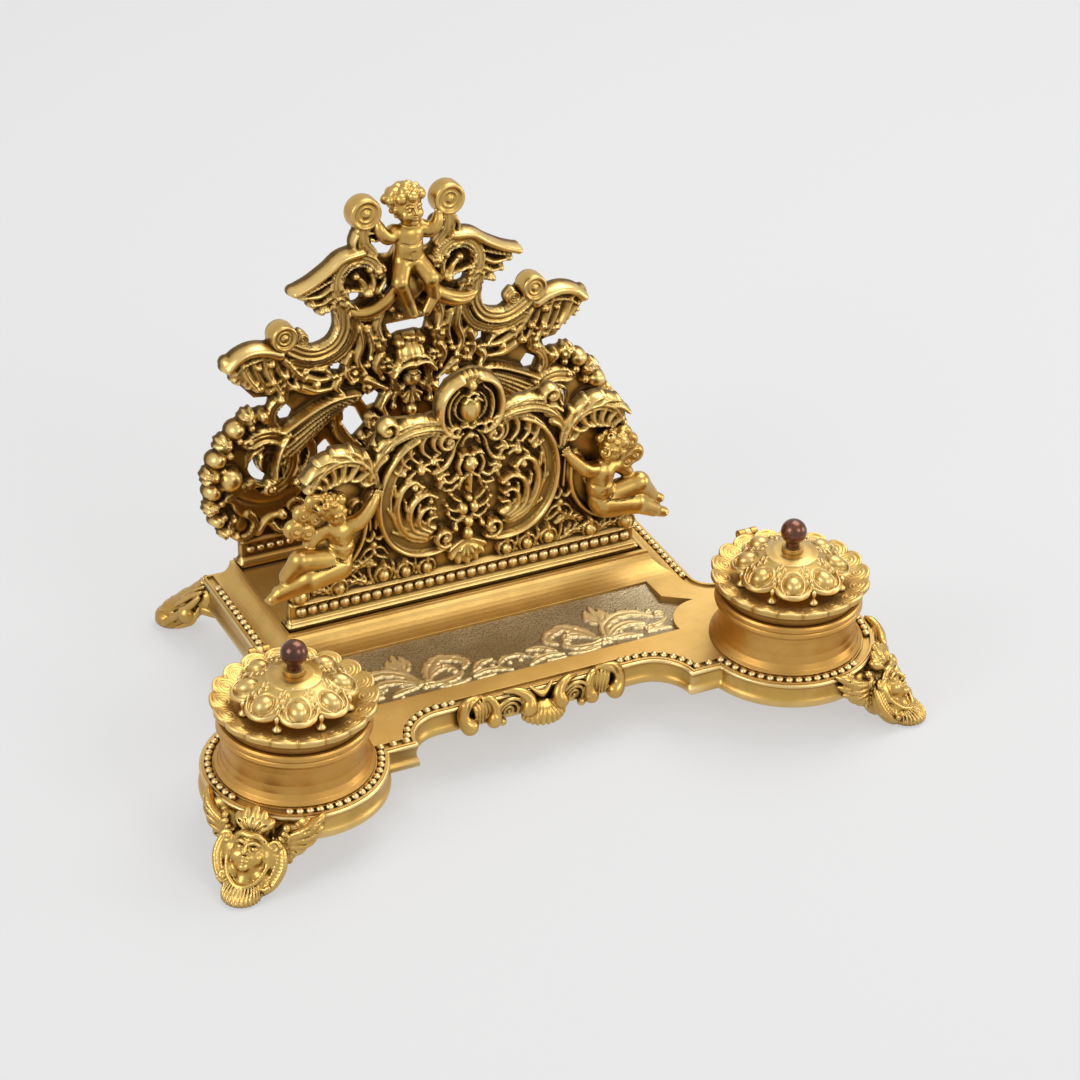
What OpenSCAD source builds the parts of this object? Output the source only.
// Brass desk inkstand: a base tray with a pen trough, a two-plate letter rack
// and two lidded ink wells, standing on four cast feet.
// Origin at the middle of the footprint, on the table. X is the width, +Y the back, +Z up.

/* [Base tray] */
// Height of the tray's top face above the table
base_top = 30; // [26:0.5:40]
// Thickness of the tray's top plate
plate_t = 5; // [4.5:0.1:8]
// Depth of the plain edge below the plate
edge_drop = 7; // [5:0.5:10]
// Wall of the plain edge
edge_wall = 3.2; // [2.4:0.1:5]
// Half width of the tray beside the rack
side_x = 100.5; // [99:0.5:112]
// Distance of the back edge behind the origin
back_y = 86.5; // [86:0.5:97]
// Distance of the front edge ahead of the origin
front_y = 50.5; // [47.5:0.5:53.5]
// Radius of the round lobe under each well
lobe_r = 38.5; // [37.5:0.5:44]
// Radius of the hollow bays beside the front crest
bay_r = 18; // [14:0.5:20]
// Distance of each bay's centre from the middle
bay_x = 48; // [44:0.5:52]
// Distance of the front cusps ahead of the origin
cusp_y = 67.5; // [65.5:0.5:71.5]
// Radius of the round shoulders behind the wells
shoulder_r = 12.5; // [9:0.5:14]

/* [Bead rows] */
// Width of the bead groove
groove_w = 3.3; // [3:0.1:4]
// Width of the thin lip outside the groove
lip_w = 1; // [0.8:0.1:1.6]
// Depth of the bead groove
groove_d = 1.3; // [0.8:0.1:2]
// Diameter of a tray bead
bead_d = 3; // [2.2:0.1:3.2]
// Pitch of the tray beads
bead_pitch = 4.4; // [3.6:0.1:6]
// Diameter of a rack bead
rack_bead_d = 4.4; // [3:0.1:4.8]
// Pitch of the rack beads
rack_bead_pitch = 5.1; // [4.9:0.1:8]

/* [Pen trough] */
// Distance of the trough's front edge ahead of the origin
trough_front = 36.3; // [33.5:0.2:39.5]
// Distance of the trough's back edge behind the origin
trough_back = 3.9; // [2.5:0.2:5.5]
// Half length of the trough at its front edge
trough_x = 76; // [70:0.5:78]
// Depth of the trough's upright wall
trough_wall = 1.2; // [0.6:0.1:1.6]
// Depth of the trough at its middle
trough_d = 3.2; // [2:0.1:3.6]

/* [Rack plinth] */
// Half width of the plinth's rim
plinth_x = 88.4; // [88:0.2:92]
// Distance of the plinth's front rim behind the origin
plinth_front = 17.8; // [14.5:0.5:19.5]
// Height of the rim above the tray
plinth_h = 6.5; // [5:0.5:9]
// Width of the rim
rim_w = 1.8; // [1.2:0.1:3]
// Depth of the letter floor below the rim
floor_d = 2; // [1:0.1:3]
// Reach of the hollow moulding at the sides
cove_side = 7.6; // [5:0.2:8]
// Thickness of the letter floor
floor_t = 3.5; // [2.5:0.1:5]

/* [Rack plates] */
// Half length of both plates' feet
rack_x = 86.2; // [84:0.2:86.4]
// Front face of the front plate behind the origin
front_plate_y = 24; // [23.5:0.5:26.5]
// Front face of the back plate behind the origin
back_plate_y = 79.5; // [76.5:0.5:79.5]
// Thickness of both plates
rack_t = 4; // [3:0.2:5]
// Backward lean of the back plate in degrees
lean = 5.5; // [0:0.5:8]
// Height of the front plate's shell crown
front_h = 112; // [106:1:118]
// Thickness of the raised ornament
relief_t = 2.5; // [1.5:0.1:4]

/* [Ink wells] */
// Distance of each well's centre from the middle
well_x = 117; // [115:0.5:125]
// Distance of the wells ahead of the origin
well_y = 58.5; // [56.5:0.5:61.5]
// Radius of the well's plain drum
drum_r = 30.5; // [29.5:0.1:31.5]
// Height of the well
well_h = 24; // [20:0.5:30]
// Wall of the well
well_wall = 2.2; // [1.6:0.1:3]
// Thickness of the well's floor
well_floor = 3.5; // [2.5:0.1:5]
// Wall of the glass liner
liner_wall = 3; // [2:0.1:4]
// Height of the glass liner
liner_h = 18; // [12:0.5:19]
// Free space round the liner
liner_gap = 0.3; // [0.2:0.1:0.6]

/* [Lids] */
// Outer radius of the scalloped saucer
lid_r = 35; // [34.5:0.1:36]
// Height of the saucer
lid_h = 9.1; // [8:0.1:12]
// Thickness of the saucer's floor
lid_floor = 2; // [1.5:0.1:3]
// Number of scallops on the rim
scallops = 18; // [12:1:24]
// Number of bosses on the dome
bosses = 8; // [6:1:10]
// Radius of the dome
dome_r = 24; // [22:0.5:26]
// Height of the dome above the saucer's floor
dome_h = 14; // [11:0.5:18]
// Thickness of the dome's shell
dome_t = 1.6; // [1:0.1:2.5]
// Radius of the finial ball
ball_r = 5.7; // [4.5:0.1:7]
// Radius of the finial's stud
stud_r = 1.5; // [1.2:0.1:2]
// Gap between the closed lid and its well
lid_gap = 0.2; // [0.1:0.05:0.3]

/* [Hinges] */
// Outer radius of the knuckles
knuckle_r = 2.4; // [2.2:0.1:3]
// Radius of the hinge pin
pin_r = 1.1; // [0.9:0.05:1.4]
// Radial running gap on the pin
pin_gap = 0.05; // [0.02:0.01:0.1]
// Length of the hinge barrel
barrel_l = 9; // [8:0.5:14]
// Distance of the pin behind the well's centre
hinge_y = 38.5; // [38:0.5:41]
// Height of the pin above the well
hinge_z = 6; // [5:0.5:8]

/* [Feet and crest] */
// Reach of a foot from the tray's edge
foot_reach = 27.5; // [24:0.5:32]
// Half width of a foot's toe
toe_w = 8.5; // [6:0.1:10]
// Reach of the leaf scrolls round the lobe
wing_reach = 7.5; // [5:0.1:9]
// Half length of the front crest
crest_x = 36; // [30:0.5:38]

/* [Screws] */
// Diameter of the screws
screw_d = 3; // [2.5:0.1:3.6]
// Radial gap round a screw
screw_gap = 0.1; // [0.05:0.05:0.2]

/* [Hidden] */
$fn = 64;

brass = "#c79a3f";
pale_brass = "#dcb65c";
dark_brass = "#a87c2c";
bronze = "#4b2c20";
glass = "#d8e8e4";
steel = "#9a9a98";

eps = 0.01;
seat = 0.2;
plate_bottom = base_top - plate_t;
edge_bottom = plate_bottom - edge_drop;
groove_in = lip_w + groove_w;
cove_front = plinth_front - trough_back;
rim_top = base_top + plinth_h;
floor_z = rim_top - floor_d;
plinth_back = back_y - 2;
fillet_r = 10;
shoulder_x = well_x + 1;
shoulder_back = well_y - 48.5;
foot_angle = 45;
back_foot_angle = 50;
screw_head_r = screw_d;
screw_head_h = 2;
hole_d = screw_d + 2 * screw_gap;
rack_screw_x = [-60, 0, 60];
moulding_front = 2;
moulding_back = 2;
well_top = base_top + well_h;
lid_bottom = well_top + lid_gap;
lid_top = lid_bottom + lid_h;
floor_top = lid_bottom + 5.8;
dome_top = floor_top + dome_h;
pin_z = well_top + hinge_z;
middle_l = barrel_l / 3;
knuckle_gap = 0.15;
ball_z = dome_top + 9.4;

// Points of an elliptical arc band, for mouldings and scrolls
function arc(cx, cy, rx, ry, a0, a1, n) =
    [for (i = [0:n]) let (a = a0 + (a1 - a0) * i / n) [cx + rx * cos(a), cy + ry * sin(a)]];
function turned(p) = [for (i = [len(p) - 1:-1:0]) p[i]];
module band(cx, cy, rx, ry, w, a0, a1, n = 18) {
    polygon(concat(arc(cx, cy, rx, ry, a0, a1, n), turned(arc(cx, cy, rx - w, ry - w, a0, a1, n))));
}
module both_sides() {
    children();
    mirror([1, 0, 0]) children();
}

// ---- base tray ----
// The tray's outline, drawn in by inset
module tray_outline(inset) {
    both_sides() {
        translate([well_x, -well_y]) circle(lobe_r - inset, $fn = 96);
        translate([shoulder_x, -shoulder_back - shoulder_r]) circle(shoulder_r - inset);
        translate([60, -shoulder_back - 30]) square([shoulder_x - 60, 30 - inset]);
        difference() {
            translate([side_x - inset - 20, -shoulder_back - 5])
                square([20 + fillet_r + inset, 5 + fillet_r]);
            translate([side_x + fillet_r, -shoulder_back + fillet_r]) circle(fillet_r + inset);
            translate([side_x + fillet_r, -shoulder_back - 10]) square([20, 40]);
        }
    }
    translate([-side_x + inset, -front_y + inset]) square([2 * (side_x - inset), front_y + back_y - 2 * inset]);
    difference() {
        translate([-86, -cusp_y + inset]) square([172, cusp_y]);
        both_sides() translate([bay_x, -front_y - bay_r]) circle(bay_r + inset);
        translate([-bay_x, -cusp_y - 20]) square([2 * bay_x, cusp_y + 20 - front_y + inset]);
    }
}

module trough_outline() {
    difference() {
        both_sides() polygon([[-1, -trough_front], [trough_x + 6, -trough_front], [trough_x + 17, 18.8 - trough_front],
            [trough_x + 5, 26.8 - trough_front], [trough_x + 4.5, trough_back], [-1, trough_back]]);
        both_sides() translate([trough_x + 17, -trough_front + 1.8]) circle(17);
    }
}

module trough_cut() {
    half = (trough_front + trough_back) / 2;
    sag = trough_d - trough_wall;
    bow = (half * half + sag * sag) / (2 * sag);
    translate([0, 0, base_top - trough_wall]) linear_extrude(10) trough_outline();
    intersection() {
        translate([0, 0, base_top - 2 * trough_d]) linear_extrude(10) trough_outline();
        translate([-trough_x - 20, (trough_back - trough_front) / 2, base_top - trough_d + bow])
            rotate([0, 90, 0]) cylinder(h = 2 * trough_x + 40, r = bow, $fn = 128);
    }
}

// The plinth is a hollow moulding on three sides and upright at the back
module plinth() {
    low = base_top - 1;
    intersection() {
        translate([-side_x, 0, 0]) rotate([90, 0, 90]) linear_extrude(2 * side_x)
            polygon(concat([[plinth_back, low], [plinth_back, rim_top], [plinth_front, rim_top]],
                arc(plinth_front - cove_front, rim_top, cove_front, plinth_h, 0, -90, 8),
                [[plinth_front - cove_front, low]]));
        translate([0, back_y, 0]) rotate([90, 0, 0]) linear_extrude(back_y + 10)
            polygon(concat([[-plinth_x - cove_side, low]],
                turned(arc(-plinth_x - cove_side, rim_top, cove_side, plinth_h, 0, -90, 8)),
                arc(plinth_x + cove_side, rim_top, cove_side, plinth_h, 180, 270, 8),
                [[plinth_x + cove_side, low]]));
    }
}

module foot_places() {
    both_sides() {
        translate([well_x, -well_y, 0]) rotate([0, 0, -foot_angle]) translate([lobe_r, 0, 0]) children(0);
        translate([side_x - 2, back_y - 2, 0]) rotate([0, 0, back_foot_angle]) children(1);
    }
}

module base_tray() {
    color(brass) difference() {
        union() {
            translate([0, 0, plate_bottom]) linear_extrude(plate_t) tray_outline(0);
            translate([0, 0, edge_bottom]) linear_extrude(edge_drop + 1) difference() {
                tray_outline(0);
                tray_outline(edge_wall);
            }
            plinth();
            foot_places() {
                translate([-9, 0, edge_bottom]) cylinder(h = edge_drop + 1, d = 9);
                translate([-7, 0, edge_bottom]) cylinder(h = edge_drop + 1, d = 9);
            }
        }
        translate([0, 0, base_top - groove_d]) linear_extrude(2) difference() {
            tray_outline(lip_w);
            tray_outline(groove_in);
            translate([-side_x + groove_in, back_y - groove_in - 1]) square([2 * (side_x - groove_in), 6]);
        }
        trough_cut();
        translate([-plinth_x + rim_w, plinth_front + rim_w, floor_z])
            cube([2 * (plinth_x - rim_w), 100, 10]);
        translate([-rack_x + 4, plinth_front + 4, plate_bottom - 1])
            cube([2 * (rack_x - 4), plinth_back - plinth_front - 6.4, floor_z - floor_t - plate_bottom + 1]);
        for (x = rack_screw_x, y = [front_plate_y + rack_t / 2, back_plate_y + rack_t / 2 - 3])
            translate([x, y, floor_z - 20]) cylinder(h = 30, d = hole_d);
        foot_places() {
            translate([-9, 0, edge_bottom - 1]) cylinder(h = edge_drop, d = hole_d);
            translate([-7, 0, edge_bottom - 1]) cylinder(h = edge_drop, d = hole_d);
        }
        both_sides() translate([well_x, -well_y, edge_bottom]) cylinder(h = 30, d = hole_d);
        both_sides() translate([20, -front_y + edge_wall + 1, edge_bottom + 3.5]) rotate([90, 0, 0])
            cylinder(h = edge_wall + 2, d = hole_d);
    }
}

// ---- beads ----
module dome_bead(d) {
    rotate_extrude($fn = 24) intersection() {
        circle(d / 2, $fn = 24);
        square([d, d]);
    }
}
// Beads at an even pitch on a straight line from a to b
module bead_line(a, b, d, pitch) {
    span = norm(b - a);
    n = max(1, floor(span / pitch));
    for (i = [0:n]) translate(a + (b - a) * i / n) dome_bead(d);
}
// Beads at an even pitch on an arc
module bead_arc(c, r, a0, a1, d, pitch) {
    n = max(1, floor(abs(a1 - a0) * PI * r / 180 / pitch));
    for (i = [0:n]) let (a = a0 + (a1 - a0) * i / n)
        translate([c[0] + r * cos(a), c[1] + r * sin(a), 0]) dome_bead(d);
}

module base_beads() {
    mid = lip_w + groove_w / 2;
    low = base_top - groove_d;
    notch = asin((cusp_y - mid - well_y) / (lobe_r - mid));
    notch_x = well_x - (lobe_r - mid) * cos(notch);
    color(pale_brass) translate([0, 0, low]) both_sides() {
        bead_arc([well_x, -well_y], lobe_r - mid, 180 + notch + 7, 296, bead_d, bead_pitch);
        bead_arc([well_x, -well_y], lobe_r - mid, -22, 58, bead_d, bead_pitch);
        bead_line([bay_x + bay_r + mid + 0.8, -cusp_y + mid, 0], [notch_x - 0.8, -cusp_y + mid, 0],
            bead_d, bead_pitch);
        bead_arc([bay_x, -front_y - bay_r], bay_r + mid, 20, 90, bead_d, bead_pitch);
        bead_line([bay_x - bead_pitch, -front_y + mid, 0], [crest_x - 4, -front_y + mid, 0], bead_d, bead_pitch);
        bead_line([side_x - mid, -shoulder_back + fillet_r + 2, 0], [side_x - mid, back_y - 12, 0],
            bead_d, bead_pitch);
        bead_line([side_x + fillet_r, -shoulder_back - mid, 0], [shoulder_x, -shoulder_back - mid, 0],
            bead_d, bead_pitch);
    }
}

// ---- rack plates, drawn in their own plane: X across, Y up from the letter floor ----
module plate_foot(y0) {
    translate([-rack_x, y0 - moulding_front, 0]) cube([2 * rack_x, rack_t + moulding_front + moulding_back, 3.6]);
    translate([-rack_x + 0.8, y0 - moulding_front + 0.8, 3]) cube([2 * rack_x - 1.6, rack_t + moulding_front + 0.4, 2.6]);
    translate([-rack_x + 1.6, y0, 5]) cube([2 * rack_x - 3.2, rack_t, 8.6]);
    translate([-rack_x + 1.2, y0 - 1.2, 12.2]) cube([2 * rack_x - 2.4, rack_t + 1.2, 1.4]);
}
module plate_beads(y0) {
    n = floor((2 * rack_x - 8) / rack_bead_pitch);
    for (i = [0:n]) translate([(i - n / 2) * rack_bead_pitch, y0 - seat / 2, 9])
        rotate([90, 0, 0]) dome_bead(rack_bead_d);
}
// Raises flat ornament from a plate's front face
module upright(y0, t) {
    translate([0, y0 + t, 0]) rotate([90, 0, 0]) linear_extrude(t) children();
}

module front_plate_outline() {
    both_sides() polygon([[-1, 12], [rack_x - 1.6, 12], [rack_x - 1.6, 19], [78, 22], [70, 28], [66, 38],
        [66, 52], [72, 60], [76, 68], [75, 76], [70, 82], [62, 85], [54, 83], [49, 80], [45, 86], [42, 92],
        [36, 95], [22, 93], [16, 94], [15, 102], [11, 108], [5, front_h - 1], [-1, front_h]]);
}

module rack_front() {
    y0 = front_plate_y;
    color(brass) translate([0, 0, floor_z]) difference() {
        union() {
            plate_foot(y0);
            upright(y0, rack_t) front_plate_outline();
            upright(y0 - relief_t, relief_t + 0.5) both_sides() {
                band(20, 57, 23.5, 31, 5.5, -245, 62, 26);
                band(21, 51, 12.5, 15, 3.5, -200, 40, 16);
                band(68, 45, 22.5, 23.5, 3.6, 160, 225, 10);
                polygon([[8, 80], [12, 86], [20, 90], [32, 90], [40, 87], [34, 84], [22, 84], [14, 78]]);
                polygon([[15, 92], [24, 96], [36, 95], [43, 90], [36, 88], [26, 91]]);
                polygon([[50, 72], [53, 80], [62, 84], [71, 80], [75, 72], [68, 76], [60, 76], [54, 70]]);
                polygon([[-1, 14], [8, 15], [12, 20], [10, 23], [5, 25], [-1, 26]]);
            }
            upright(y0 - relief_t - 1, relief_t + 1.5) band(0, 95, 13.5, 15, 4, -50, 230, 24);
            both_sides() {
                for (p = [[9, 78, 4.4], [9, 35, 4.6]]) translate([p[0], y0 + 0.5, p[1]]) rotate([90, 0, 0])
                    cylinder(h = relief_t + 2, r = p[2]);
                for (p = [[19, 18], [30, 18], [41, 19], [56, 17], [76, 17]]) translate([p[0], y0 - 0.5, p[1]])
                    sphere(r = 2.6, $fn = 24);
                for (p = [[22, 66], [47, 36], [31, 54], [4, 42]]) translate([p[0], y0 - 0.3, p[1]])
                    sphere(r = 2.8, $fn = 24);
            }
            translate([0, y0, 94]) sphere(r = 6.4, $fn = 32);
            translate([0, y0 - 1.5, 65]) sphere(r = 6.2, $fn = 32);
            for (p = [[52, 3], [44, 3.4], [34, 3]]) translate([0, y0 - 0.8, p[0]]) sphere(r = p[1], $fn = 24);
        }
        for (x = rack_screw_x) translate([x, y0 + rack_t / 2, -1]) cylinder(h = 9, d = screw_d);
    }
}
module rack_front_beads() {
    color(pale_brass) translate([0, 0, floor_z]) plate_beads(front_plate_y);
}

module back_plate_outline() {
    difference() {
        both_sides() polygon([[-1, 12], [rack_x - 1.6, 12], [87, 17], [92, 18], [97, 26], [100, 36], [100, 47],
            [97, 55], [92, 62], [88, 69], [82, 74], [74, 76], [68, 76], [67, 80], [78, 81], [84, 90],
            [89, 98], [83, 104], [74, 106.5], [68, 105], [66, 112], [62, 116], [57, 113], [52, 108],
            [49, 103], [44, 100], [38, 102], [34, 109], [34, 115], [42, 118], [42, 124], [54, 124],
            [57, 128], [52, 132], [40, 134], [33, 139], [25, 142], [24, 152], [16, 153], [16, 141],
            [12, 137], [7, 136], [4, 140], [-1, 140]]);
        polygon([[-10, 103], [10, 103], [8, 97], [4, 98.5], [-4, 98.5], [-8, 97]]);
        both_sides() {
            translate([25, 120]) circle(3.2);
            translate([10, 121]) circle(1.8);
            polygon([[32, 89], [37, 91], [37, 87], [33, 86]]);
            polygon([[14, 70], [18, 74], [23, 70], [20, 65], [16, 66]]);
            polygon([[22, 57], [26, 66], [30, 68], [34, 62], [28, 52]]);
            polygon([[37, 49], [41, 55], [47, 51], [45, 44], [39, 45]]);
            polygon([[56, 69], [59, 74], [64, 71], [62, 66], [58, 65]]);
            polygon([[72, 43], [78, 44], [79, 50], [76, 56], [73, 57], [75, 50]]);
        }
    }
}

module rack_back() {
    color(brass) translate([0, back_plate_y, floor_z]) difference() {
        rotate([-lean, 0, 0]) union() {
            plate_foot(0);
            upright(0, rack_t) back_plate_outline();
            upright(-relief_t, relief_t + 0.5) both_sides() {
                band(73, 50, 15, 13, 4.5, 35, 300, 20);
                band(24, 128, 12.5, 12.5, 4, -60, 200, 18);
                band(40, 118, 14, 18, 5, 190, 310, 14);
                polygon([[66, 96], [74, 104], [84, 104], [89, 99], [80, 94], [72, 88]]);
                polygon([[30, 100], [28, 86], [22, 80], [18, 92], [24, 108], [31, 114]]);
            }
            both_sides() {
                for (p = [[95, 34, 4.2], [95, 43, 4.8], [92, 52, 4.4], [88, 60, 4.2], [83, 68, 4], [76, 72, 3.8]])
                    translate([p[0], 1, p[1]]) sphere(r = p[2], $fn = 24);
                translate([61, rack_t, 109]) rotate([90, 0, 0]) cylinder(h = rack_t + 4, r = 6);
                translate([20, rack_t, 159]) rotate([90, 0, 0]) cylinder(h = rack_t + 5, r = 7.6);
                translate([20, rack_t / 2, 143]) cylinder(h = 10, r = 2.4, $fn = 24);
                translate([37, -0.5, 72]) rotate([0, 117, 0]) cylinder(h = 40, r1 = 4.2, r2 = 7.5);
                for (p = [[20, 62], [17, 50], [30, 84], [46, 86], [36, 79], [13, 88]]) translate([p[0], 0, p[1]])
                    sphere(r = 3.6, $fn = 24);
            }
            translate([0, 0.5, 86]) sphere(r = 8.5, $fn = 32);
            translate([0, 0, 72]) sphere(r = 6.5, $fn = 32);
        }
        translate([-100, -20, -20]) cube([200, 60, 20]);
        for (x = rack_screw_x) translate([x, rack_t / 2 - 3, -1]) cylinder(h = 4, d = screw_d);
    }
}
module rack_back_beads() {
    color(pale_brass) translate([0, back_plate_y, floor_z]) rotate([-lean, 0, 0]) plate_beads(0);
}

// A limb from a to b, round at both ends
module limb(a, b, ra, rb) {
    hull() {
        translate(a) sphere(r = ra, $fn = 16);
        translate(b) sphere(r = rb, $fn = 16);
    }
}

// A side cherub sits against the front plate, legs towards the end
module side_cherub() {
    y = front_plate_y - seat;
    difference() {
        union() {
            translate([69, y - 3, 62.5]) sphere(r = 7, $fn = 24);
            translate([77.5, y - 2, 57.5]) sphere(r = 4.4, $fn = 20);
            limb([66, y - 3, 57], [64, y - 3, 50], 3, 4);
            limb([63, y - 2.5, 49], [62, y - 3, 36], 6, 6.8);
            limb([60, y - 3.5, 50], [53, y - 4, 56], 2.8, 2.2);
            limb([53, y - 4, 56], [47, y - 3, 61], 2.1, 1.8);
            limb([65, y - 5, 48], [72, y - 4, 44], 2.8, 2.2);
            limb([64, y - 4, 34], [79, y - 5, 32], 4.6, 3.8);
            limb([79, y - 5, 32], [90, y - 4, 24], 3.6, 2.6);
            limb([90, y - 4, 24], [95, y - 4, 19], 2.5, 2);
            limb([68, y - 1.5, 38], [83, y - 2, 36], 4.2, 3.4);
            limb([83, y - 2, 36], [92, y - 2, 29], 3.2, 2.4);
        }
        translate([0, y, 0]) cube([200, 20, 200]);
    }
}
module cherub_left() {
    color(pale_brass) mirror([1, 0, 0]) translate([0, 0, floor_z]) side_cherub();
}
module cherub_right() {
    color(pale_brass) translate([0, 0, floor_z]) side_cherub();
}
module cherub_top() {
    y = rack_t / 2;
    color(pale_brass) translate([0, back_plate_y, floor_z]) rotate([-lean, 0, 0]) difference() {
        union() {
            translate([0, y - 3, 159.5]) sphere(r = 9, $fn = 32);
            limb([0, y - 3, 150], [0, y - 2, 146], 3.4, 5.4);
            limb([0, y - 2, 146], [0, y - 2.5, 136], 5.4, 6);
            both_sides() {
                limb([5, y - 2, 148], [11, y - 3, 151.5], 2.4, 2.2);
                limb([4, y - 4, 134], [8, y - 8, 124], 3.8, 3.2);
                limb([8, y - 8, 124], [5, y - 5, 110], 3, 2.4);
            }
        }
        translate([-30, -seat, 100]) cube([60, 20, 40.2]);
        both_sides() translate([5.8, -seat, 100]) cube([30, 20, 56]);
    }
}

module rack_screws() {
    color(steel) for (x = rack_screw_x) {
        translate([x, front_plate_y + rack_t / 2, floor_z - floor_t]) screw(floor_t + 6);
        translate([x, back_plate_y + rack_t / 2 - 3, floor_z - floor_t]) screw(floor_t + 2.6);
    }
}
// A screw pointing up, its head hanging below the origin
module screw(l) {
    cylinder(h = l, d = screw_d);
    translate([0, 0, -screw_head_h - seat / 2]) cylinder(h = screw_head_h, r = screw_head_r);
    translate([0, 0, -seat / 2 - eps]) cylinder(h = 1, d = screw_d);
}

// ---- feet and crest ----
// A foot points along +X from the tray's edge, its tongue under the edge
module foot(w) {
    r = foot_reach;
    intersection() {
        translate([0, 40, 0]) rotate([90, 0, 0]) linear_extrude(80)
            polygon([[-12.5, base_top - 2.5], [0.3, base_top - 2.5], [2.5, base_top - 3], [r - 17.5, 19.5],
                [r - 11.5, 13.5], [r - 6, 10], [r - 2, 8], [r, 5], [r, 2], [r - 2, 0], [r - 13, 0],
                [r - 17, 2], [7, 7], [3, edge_bottom - 4], [-12.5, edge_bottom - 4]]);
        linear_extrude(60) union() {
            polygon([[-13, -w], [2, -w], [r - 14, 0.5 - toe_w], [r - toe_w, -toe_w], [r - toe_w, toe_w],
                [r - 14, toe_w - 0.5], [2, w], [-13, w]]);
            translate([r - toe_w, 0]) circle(toe_w);
        }
    }
    translate([r - toe_w - 0.7, 0, 3.3]) sphere(r = toe_w - 1, $fn = 48);
    translate([5.3, 0.1, 20]) sphere(r = 6.5, $fn = 32);
}
module front_foot() {
    difference() {
        union() {
            foot(11);
            for (s = [-1, 1]) translate([-lobe_r, 0, 0]) {
                rotate([0, 0, s * 21]) translate([0, 0, 18]) rotate([0, 90, 0])
                    cylinder(h = lobe_r + wing_reach, r = 8);
                rotate([0, 0, s * 32]) translate([0, 0, 22]) rotate([0, 90, 0])
                    cylinder(h = lobe_r + wing_reach - 3, r = 4.8);
            }
        }
        translate([-lobe_r, 0, edge_bottom - seat]) cylinder(h = 40, r = lobe_r + seat, $fn = 96);
        translate([-lobe_r, 0, -1]) cylinder(h = 15.05, r = lobe_r + seat, $fn = 96);
        translate([-60, -60, -40]) cube([120, 120, 40]);
        translate([-9, 0, 0]) cylinder(h = 40, d = hole_d);
        translate([-80, -60, -1]) cube([67.5, 120, 60]);
    }
}
module back_foot() {
    difference() {
        union() {
            foot(9);
            for (s = [-1, 1]) translate([7, s * 7, 14]) rotate([90, 0, 0]) cylinder(h = 7, r = 5, center = true);
        }
        rotate([0, 0, -back_foot_angle]) translate([-40, -40, edge_bottom - seat])
            cube([42 + seat, 42 + seat, 40]);
        translate([-60, -60, -40]) cube([120, 120, 40]);
        translate([-7, 0, 0]) cylinder(h = 40, d = hole_d);
    }
}
module place_front_foot() {
    translate([well_x, -well_y, 0]) rotate([0, 0, -foot_angle]) translate([lobe_r, 0, 0]) front_foot();
}
module place_back_foot() {
    translate([side_x - 2, back_y - 2, 0]) rotate([0, 0, back_foot_angle]) back_foot();
}
module foot_front_left() { color(pale_brass) mirror([1, 0, 0]) place_front_foot(); }
module foot_front_right() { color(pale_brass) place_front_foot(); }
module foot_back_left() { color(pale_brass) mirror([1, 0, 0]) place_back_foot(); }
module foot_back_right() { color(pale_brass) place_back_foot(); }

module foot_screws() {
    color(steel) foot_places() {
        translate([-9, 0, edge_bottom - 4]) screw(9);
        translate([-7, 0, edge_bottom - 4]) screw(9);
    }
}

module front_crest() {
    y = -front_y - seat;
    color(pale_brass) difference() {
        union() {
            translate([-crest_x, y - 2.5, edge_bottom]) cube([2 * crest_x, 2.5, base_top - edge_bottom]);
            both_sides() {
                for (p = [[crest_x - 2.5, 3.2], [22, 2.8], [10, 3.4]]) {
                    translate([p[0], y - 2.5, edge_bottom + 3]) cylinder(h = base_top - edge_bottom - 3, r = p[1]);
                    translate([p[0], y - 3.5, edge_bottom + 3]) sphere(r = p[1] + 0.6, $fn = 32);
                }
                translate([16, y, base_top - 4]) rotate([90, 0, 0]) cylinder(h = 4.5, r = 5);
            }
            translate([0, y, edge_bottom + 3]) rotate([60, 0, 0]) cylinder(h = 9, r1 = 3, r2 = 7);
        }
        translate([-60, y, -20]) cube([120, 30, 80]);
        both_sides() translate([20, y + 1, edge_bottom + 3.5]) rotate([90, 0, 0]) cylinder(h = 3, d = screw_d);
    }
}
module crest_screws() {
    color(steel) both_sides() translate([20, -front_y + edge_wall + seat / 2, edge_bottom + 3.5])
        rotate([90, 0, 0]) screw(edge_wall + 1.8);
}

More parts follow.
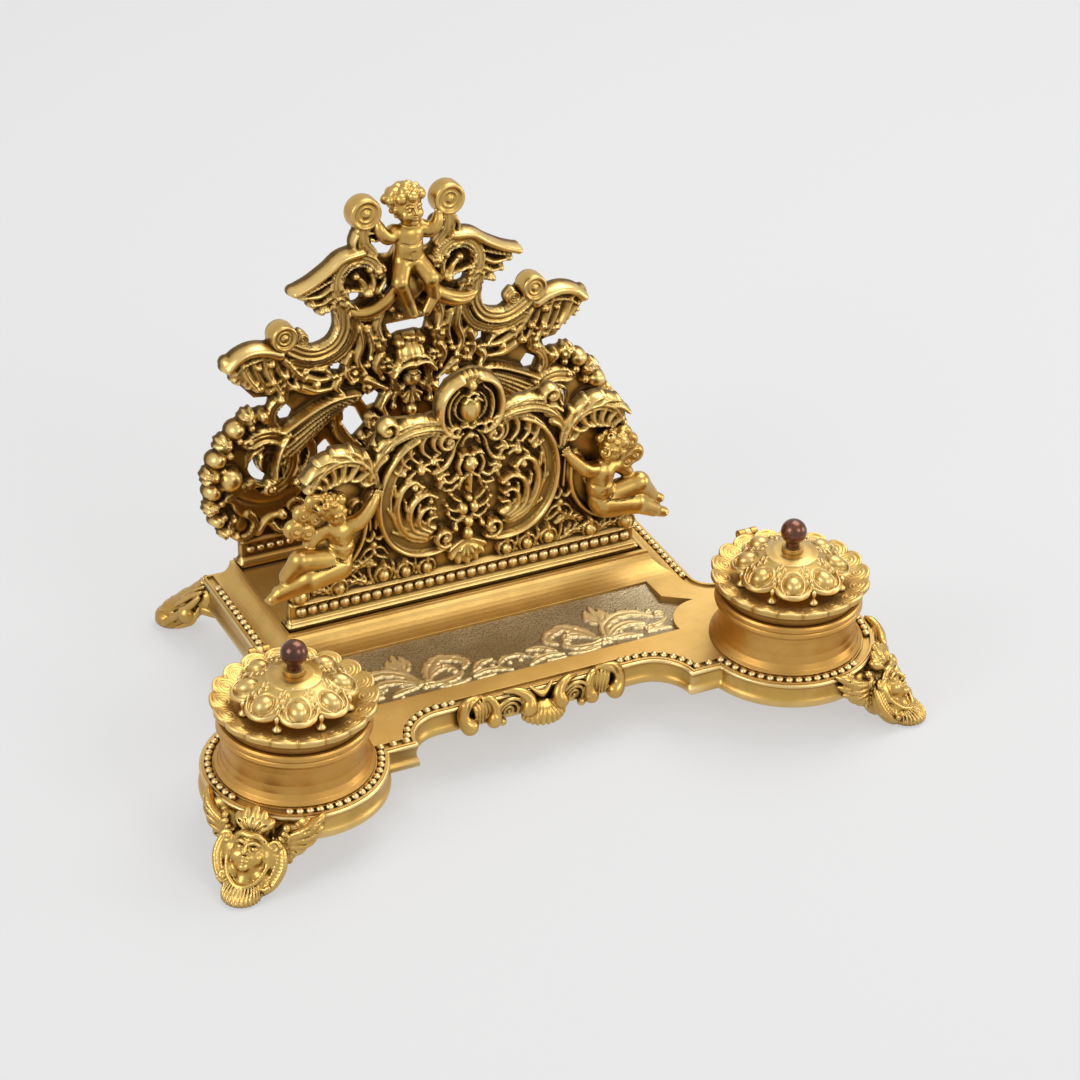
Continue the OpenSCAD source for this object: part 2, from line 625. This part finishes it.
// ---- wells ----
module well() {
    inner = drum_r - well_wall;
    difference() {
        union() {
            rotate_extrude($fn = 96) polygon([[0, base_top], [33.6, base_top], [33.6, base_top + 0.8],
                [drum_r + 1.6, base_top + 2], [drum_r + 0.4, base_top + 4.5], [drum_r - 0.3, base_top + 8],
                [drum_r - 0.3, base_top + 14], [drum_r, base_top + 17.5], [drum_r + 1.6, base_top + 18],
                [drum_r + 2, base_top + 19.2], [drum_r + 1.6, base_top + 20.4], [drum_r + 1.2, base_top + 20.8],
                [drum_r + 1.8, base_top + 21.6], [drum_r + 1.8, base_top + 23], [drum_r + 1.2, well_top],
                [0, well_top]]);
            translate([-barrel_l / 2, drum_r - 1, well_top - 3.6]) cube([barrel_l, hinge_y - drum_r + 2.4, 2.6]);
            translate([-barrel_l / 2, hinge_y - 1, well_top - 3]) cube([barrel_l, 2.4, hinge_z + 3 - knuckle_r / 2]);
            translate([-barrel_l / 2, hinge_y, pin_z]) rotate([0, 90, 0]) cylinder(h = barrel_l, r = knuckle_r);
        }
        translate([0, 0, base_top + well_floor]) cylinder(h = 40, r = inner, $fn = 96);
        translate([0, 0, base_top - 1]) cylinder(h = 10, d = screw_d);
        translate([-middle_l / 2 - knuckle_gap, hinge_y - 6, pin_z - knuckle_r - knuckle_gap])
            cube([middle_l + 2 * knuckle_gap, 12, 12]);
        translate([-barrel_l, hinge_y, pin_z]) rotate([0, 90, 0]) cylinder(h = 2 * barrel_l, r = pin_r + pin_gap);
    }
}
module liner() {
    r = drum_r - well_wall - liner_gap;
    translate([0, 0, base_top + well_floor]) difference() {
        cylinder(h = liner_h, r = r, $fn = 96);
        translate([0, 0, liner_wall]) cylinder(h = liner_h, r = r - liner_wall, $fn = 96);
    }
}
module hinge_pin() {
    translate([-barrel_l / 2 - 0.6, hinge_y, pin_z]) rotate([0, 90, 0]) cylinder(h = barrel_l + 1.2, r = pin_r);
}

// ---- lids ----
module lid() {
    ring_r = drum_r - 0.3;
    difference() {
        union() {
            rotate_extrude($fn = 96) polygon([[0, floor_top - lid_floor], [ring_r - 2, floor_top - lid_floor],
                [ring_r - 2, lid_bottom], [ring_r, lid_bottom], [ring_r + 0.2, lid_bottom + 2],
                [lid_r - 2, lid_bottom + 3.5], [lid_r - 0.8, lid_bottom + 5], [lid_r - 0.8, floor_top + 1],
                [lid_r - 4, floor_top], [5, floor_top], [5, dome_top - dome_t - 0.1], [0, dome_top - dome_t - 0.1]]);
            translate([0, 0, lid_bottom + 5]) linear_extrude(lid_h - 5) difference() {
                union() {
                    circle(lid_r - 0.9, $fn = 96);
                    for (i = [0:scallops - 1]) rotate(i * 360 / scallops) translate([lid_r - 5.6, 0]) circle(5.6);
                }
                circle(lid_r - 3.6, $fn = 96);
            }
            translate([-middle_l / 2, hinge_y, pin_z]) rotate([0, 90, 0]) cylinder(h = middle_l, r = knuckle_r);
            translate([-middle_l / 2, lid_r - 3.4, pin_z - 1.2]) cube([middle_l, hinge_y - lid_r + 3, 2.4]);
        }
        translate([0, 0, lid_bottom - 1]) cylinder(h = 40, r = stud_r + 0.1);
        translate([-barrel_l, hinge_y, pin_z]) rotate([0, 90, 0]) cylinder(h = 2 * barrel_l, r = pin_r + pin_gap);
    }
}
// The dome is a thin shell whose edge is notched into petals, each with a boss
module lid_dome() {
    bore = stud_r + 0.1;
    edge = dome_r + 2.5;
    difference() {
        union() {
            rotate([0, 0, 7]) rotate_extrude($fn = 96) polygon([[bore, dome_top], [11.5, dome_top - 0.4],
                [16, dome_top - 2.8], [20, dome_top - 5.6], [edge, dome_top - 10], [edge, dome_top - 11],
                [20, dome_top - 5.6 - dome_t], [16, dome_top - 2.8 - dome_t],
                [11, dome_top - dome_t - 0.2], [bore, dome_top - dome_t]]);
            for (i = [0:bosses - 1]) rotate((i + 0.5) * 360 / bosses)
                translate([dome_r - 5.3, 0, dome_top - 8]) cylinder(h = 5, r1 = 4.4, r2 = 2.4);
        }
        for (i = [0:bosses - 1]) rotate(i * 360 / bosses)
            translate([edge + 1.1, 0, dome_top - 20]) cylinder(h = 30, r = 4);
    }
}
module finial_collar() {
    difference() {
        translate([0, 0, dome_top + 0.05]) cylinder(h = 2.1, r = 4.7);
        translate([0, 0, dome_top - 1]) cylinder(h = 5, r = stud_r + 0.1);
    }
}
module finial() {
    translate([0, 0, ball_z]) sphere(r = ball_r);
    translate([0, 0, dome_top + 2.2]) cylinder(h = ball_z - dome_top - 4, r = 3);
    translate([0, 0, floor_top - lid_floor - 3.4]) cylinder(h = ball_z - floor_top, r = stud_r);
}
module finial_nut() {
    difference() {
        translate([0, 0, floor_top - lid_floor - 2.9]) cylinder(h = 2.8, r = 3.4, $fn = 6);
        translate([0, 0, floor_top - lid_floor - 5]) cylinder(h = 8, r = stud_r + 0.05);
    }
}
module well_screws() {
    color(steel) both_sides() translate([well_x, -well_y, plate_bottom]) screw(plate_t + well_floor - 1);
}

module on_left() { translate([-well_x, -well_y, 0]) children(); }
module on_right() { translate([well_x, -well_y, 0]) children(); }
module well_left() { color(brass) on_left() well(); }
module liner_left() { color(glass) on_left() liner(); }
module hinge_pin_left() { color(dark_brass) on_left() hinge_pin(); }
module lid_left() { color(pale_brass) on_left() lid(); }
module lid_dome_left() { color(pale_brass) on_left() lid_dome(); }
module finial_collar_left() { color(brass) on_left() finial_collar(); }
module finial_left() { color(bronze) on_left() finial(); }
module finial_nut_left() { color(dark_brass) on_left() finial_nut(); }
module well_right() { color(brass) on_right() well(); }
module liner_right() { color(glass) on_right() liner(); }
module hinge_pin_right() { color(dark_brass) on_right() hinge_pin(); }
module lid_right() { color(pale_brass) on_right() lid(); }
module lid_dome_right() { color(pale_brass) on_right() lid_dome(); }
module finial_collar_right() { color(brass) on_right() finial_collar(); }
module finial_right() { color(bronze) on_right() finial(); }
module finial_nut_right() { color(dark_brass) on_right() finial_nut(); }

base_tray();
base_beads();
rack_front();
rack_front_beads();
rack_back();
rack_back_beads();
cherub_left();
cherub_right();
cherub_top();
rack_screws();
foot_front_left();
foot_front_right();
foot_back_left();
foot_back_right();
foot_screws();
front_crest();
crest_screws();
well_screws();
well_left();
liner_left();
hinge_pin_left();
lid_left();
lid_dome_left();
finial_collar_left();
finial_left();
finial_nut_left();
well_right();
liner_right();
hinge_pin_right();
lid_right();
lid_dome_right();
finial_collar_right();
finial_right();
finial_nut_right();
